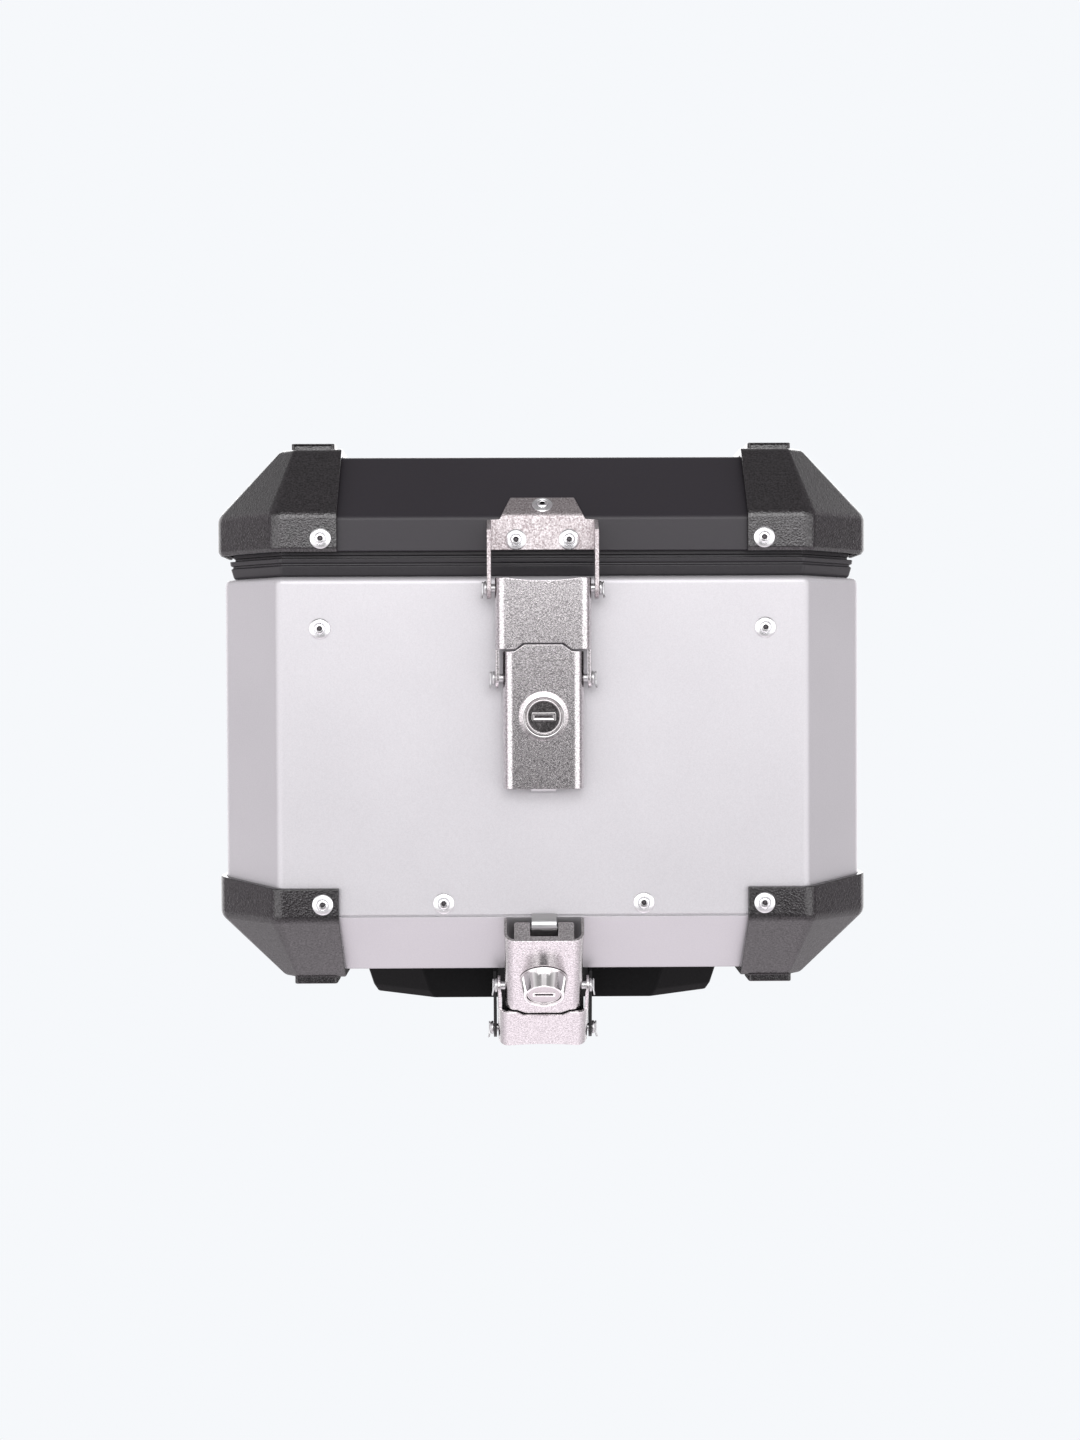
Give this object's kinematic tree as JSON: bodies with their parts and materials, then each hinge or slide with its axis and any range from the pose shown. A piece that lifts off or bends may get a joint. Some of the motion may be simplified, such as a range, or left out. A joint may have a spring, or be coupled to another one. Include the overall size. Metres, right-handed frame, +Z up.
{
  "type": "motorcycle top case",
  "caption": "Chamfered sheet-aluminium luggage box with a black hinged lid, plastic corner guards, keyed front latches and a quick-release base plate for a rear rack.",
  "frame": {"origin": "centre of the base plate's underside, on the rack's platform", "axes": "+Z up, -Y towards the latch side of the case, +X to the right of someone who faces the latches"},
  "size_m": [0.399, 0.4115, 0.3822],
  "materials": {
    "silver_sheet": "satin",
    "black_sheet": "matte",
    "guard_plastic": "matte",
    "base_plastic": "matte",
    "seal_rubber": "matte",
    "latch_steel": "satin",
    "lock_chrome": "polished",
    "plug_metal": "satin",
    "rivet_aluminium": "satin",
    "black_steel": "satin",
    "strap_webbing": "matte"
  },
  "bodies": {
    "base": {"base_plate": "base_plastic", "base_hook": "black_steel", "base_latch_bracket": "black_steel", "buffer_front_left": "seal_rubber", "buffer_front_right": "seal_rubber", "buffer_rear_left": "seal_rubber", "buffer_rear_right": "seal_rubber"},
    "case": {"body_shell": "silver_sheet", "bottom_pan": "silver_sheet", "rim_seal": "seal_rubber", "dock_plate": "black_steel", "upper_catch": "latch_steel", "lower_catch": "latch_steel", "base_guard_front_left": "guard_plastic", "base_guard_front_right": "guard_plastic", "base_guard_rear_left": "guard_plastic", "base_guard_rear_right": "guard_plastic", "hinge_case_leaf_left": "latch_steel", "hinge_case_leaf_right": "latch_steel", "hinge_pin_left": "lock_chrome", "hinge_pin_right": "lock_chrome", "stay_strap_left": "strap_webbing", "stay_strap_right": "strap_webbing", "rivet_base_guard_left": "rivet_aluminium", "rivet_base_guard_right": "rivet_aluminium", "rivet_strap_left": "rivet_aluminium", "rivet_strap_right": "rivet_aluminium", "rivet_pan_left": "rivet_aluminium", "rivet_pan_right": "rivet_aluminium"},
    "lid": {"lid_shell": "black_sheet", "lid_gasket": "seal_rubber", "lid_latch_bracket": "latch_steel", "lid_guard_front_left": "guard_plastic", "lid_guard_front_right": "guard_plastic", "lid_guard_rear_left": "guard_plastic", "lid_guard_rear_right": "guard_plastic", "hinge_lid_leaf_left": "latch_steel", "hinge_lid_leaf_right": "latch_steel", "rivet_lid_guard_left": "rivet_aluminium", "rivet_lid_guard_right": "rivet_aluminium", "rivet_bracket_left": "rivet_aluminium", "rivet_bracket_right": "rivet_aluminium", "rivet_bracket_top": "rivet_aluminium"},
    "upper_link": {"upper_latch_link": "latch_steel", "upper_link_pin": "lock_chrome", "upper_lever_pin": "lock_chrome"},
    "upper_lever": {"upper_latch_lever": "latch_steel", "upper_lock_barrel": "lock_chrome", "upper_lock_nut": "latch_steel"},
    "upper_plug": {"upper_lock_plug": "plug_metal", "upper_lock_cam": "latch_steel"},
    "lower_link": {"lower_latch_link": "latch_steel", "lower_link_pin": "lock_chrome", "lower_lever_pin": "lock_chrome"},
    "lower_lever": {"lower_latch_lever": "latch_steel", "lower_lock_barrel": "lock_chrome", "lower_lock_nut": "latch_steel"},
    "lower_plug": {"lower_lock_plug": "plug_metal", "lower_lock_cam": "latch_steel"}
  },
  "joints": [
    {"name": "case_lift", "type": "slide", "parent": "base", "child": "case", "axis": [0, 0, 1], "range_m": [0, 0.08]},
    {"name": "lid_hinge", "type": "hinge", "parent": "case", "child": "lid", "pos_m": [0, 0.1905, 0.276], "axis": [-1, 0, 0], "range_deg": [0, 100]},
    {"name": "upper_lever_swing", "type": "hinge", "parent": "upper_link", "child": "upper_lever", "pos_m": [0, -0.19535, 0.20509], "axis": [-1, 0, 0], "range_deg": [0, 90]},
    {"name": "upper_link_swing", "type": "hinge", "parent": "lid", "child": "upper_link", "pos_m": [0, -0.19767, 0.25823], "axis": [-1, 0, 0], "range_deg": [0, 58]},
    {"name": "upper_key_turn", "type": "hinge", "parent": "upper_lever", "child": "upper_plug", "pos_m": [0, -0.20438, 0.18267], "axis": [0, 0.999, 0.0436], "range_deg": [0, 90]},
    {"name": "lower_lever_swing", "type": "hinge", "parent": "lower_link", "child": "lower_lever", "pos_m": [0, -0.13857, 0.01354], "axis": [1, 0, 0], "range_deg": [0, 90]},
    {"name": "lower_link_swing", "type": "hinge", "parent": "base", "child": "lower_link", "pos_m": [0, -0.09719, -0.01989], "axis": [1, 0, 0], "range_deg": [0, 58]},
    {"name": "lower_key_turn", "type": "hinge", "parent": "lower_lever", "child": "lower_plug", "pos_m": [0, -0.16197, 0.01959], "axis": [0, 0.6284, 0.7779], "range_deg": [0, 90]}
  ],
  "couplings": [
    {"joint": "upper_link_swing", "follows": "upper_lever_swing", "ratio": 0.6444},
    {"joint": "lower_link_swing", "follows": "lower_lever_swing", "ratio": 0.6444}
  ]
}
